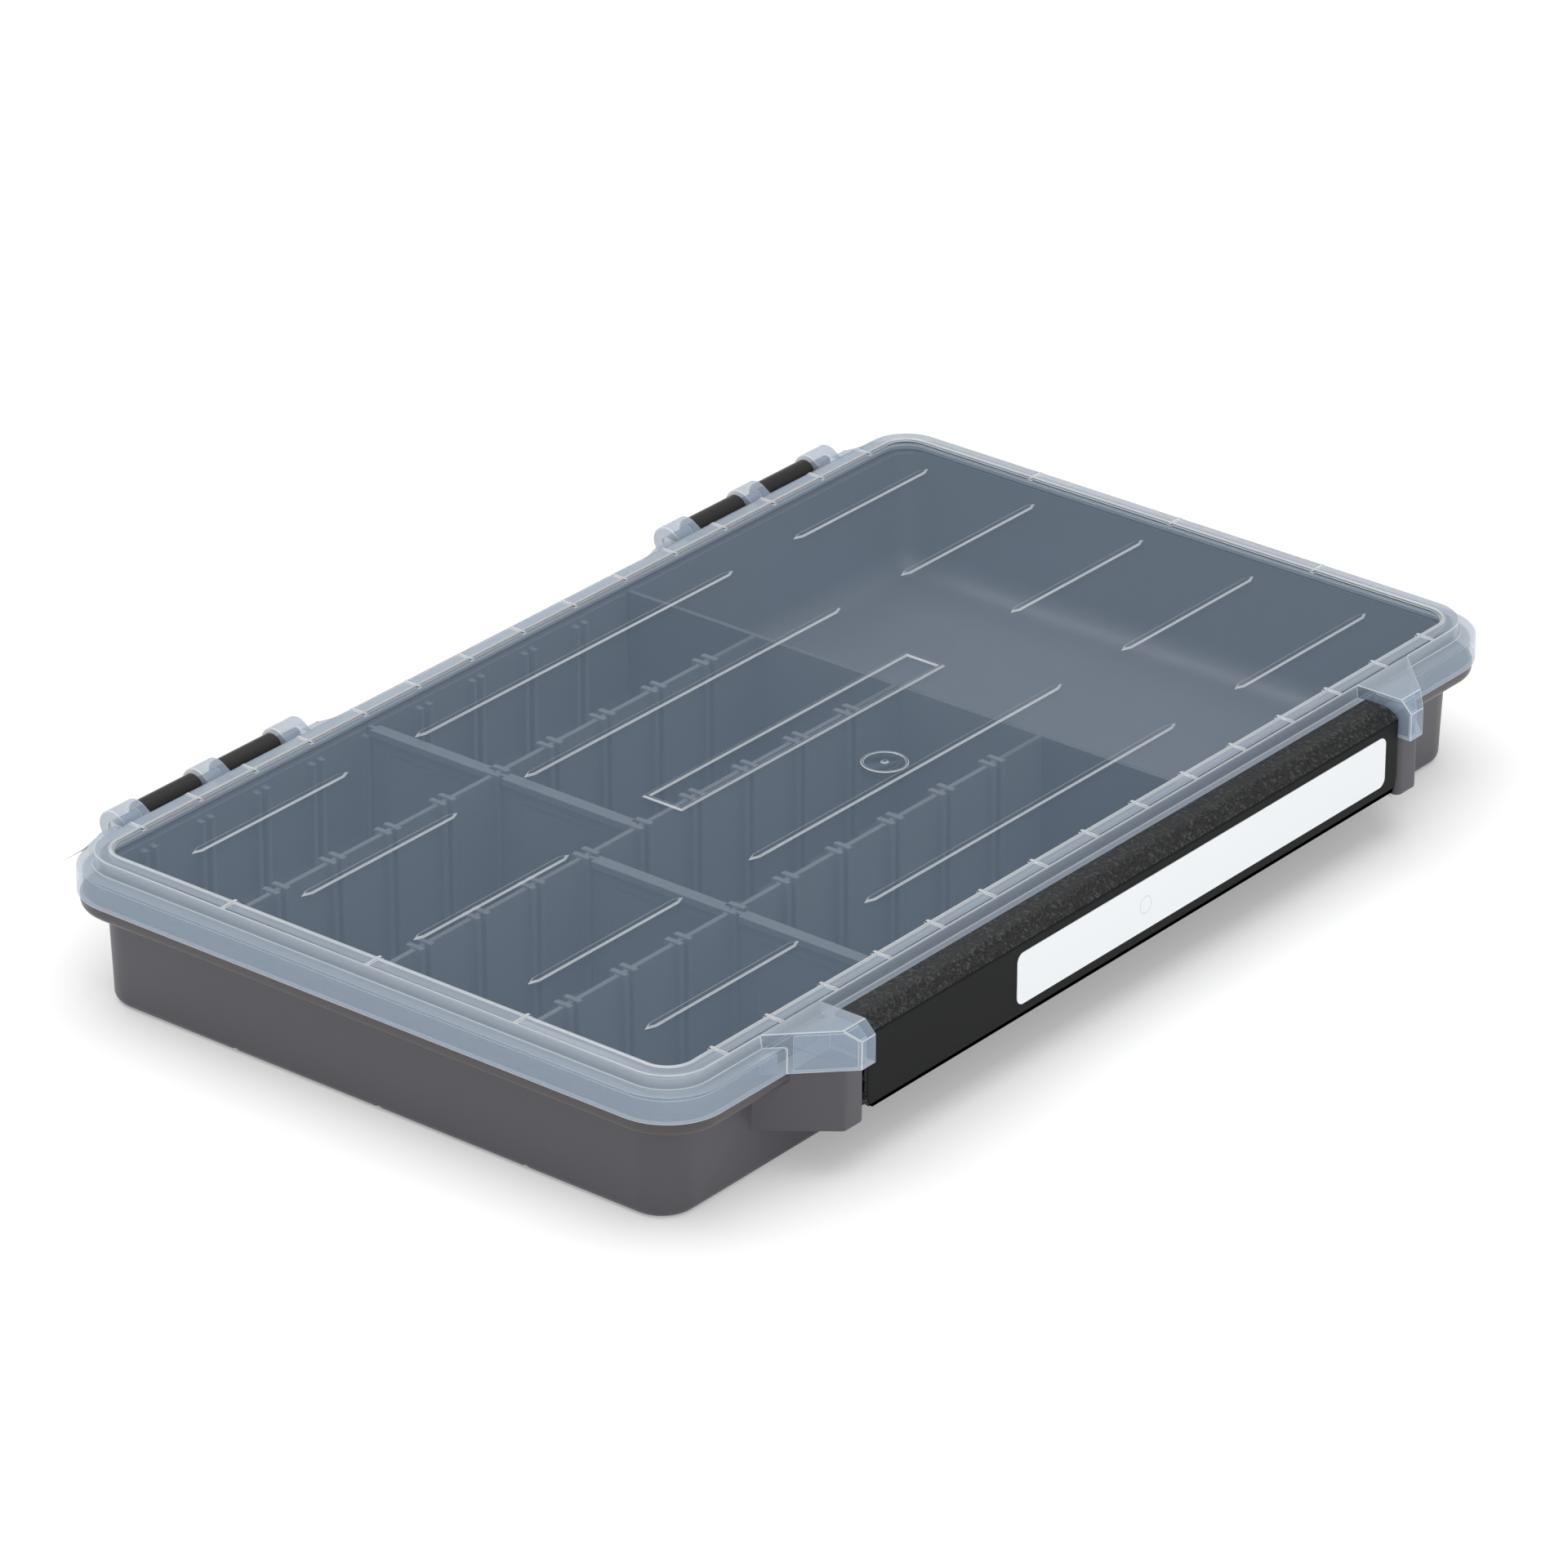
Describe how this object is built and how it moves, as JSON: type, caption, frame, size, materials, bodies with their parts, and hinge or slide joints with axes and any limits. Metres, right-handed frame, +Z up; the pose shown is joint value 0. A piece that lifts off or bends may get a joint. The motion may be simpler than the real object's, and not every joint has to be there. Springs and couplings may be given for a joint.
{
  "type": "fishing tackle box",
  "caption": "Flat hinged box with a clear lid, a full-width front latch, lengthwise rows and removable dividers for small tackle.",
  "frame": {"origin": "middle of the tray's flat underside, at the point of the mount base_rest, on the floor", "axes": "+X along the long side, to the right of someone facing the latch; -Y towards the latch, +Y towards the hinges; +Z up"},
  "size_m": [0.356, 0.2317, 0.0433],
  "materials": {
    "gray_tray_plastic": "fine satin moulded polypropylene",
    "clear_lid_plastic": "clear, slightly milky moulded polypropylene",
    "pale_seal_rubber": "soft pale gasket",
    "black_latch_plastic": "satin front with a pebbled strip above it",
    "white_label_plastic": "smooth white label",
    "pin_steel": "plain steel wire",
    "gray_divider_plastic": "satin moulded polypropylene"
  },
  "bodies": {
    "tray": {"tray": "gray_tray_plastic", "hinge_pin_left": "pin_steel", "hinge_pin_right": "pin_steel", "latch_pin_left": "pin_steel", "latch_pin_right": "pin_steel", "divider_row_1": "gray_divider_plastic", "divider_row_2": "gray_divider_plastic", "divider_row_3": "gray_divider_plastic", "divider_row_4": "gray_divider_plastic"},
    "lid": {"lid": "clear_lid_plastic", "lid_seal": "pale_seal_rubber"},
    "latch": {"latch": "black_latch_plastic", "latch_label": "white_label_plastic"}
  },
  "joints": [
    {"name": "lid_hinge", "type": "hinge", "parent": "tray", "child": "lid", "pos_m": [0, 0.1086, 0.038], "axis": [-1, 0, 0], "range_deg": [0, 180]},
    {"name": "latch_hinge", "type": "hinge", "parent": "tray", "child": "latch", "pos_m": [0, -0.1104, 0.0195], "axis": [1, 0, 0], "range_deg": [0, 110]}
  ]
}
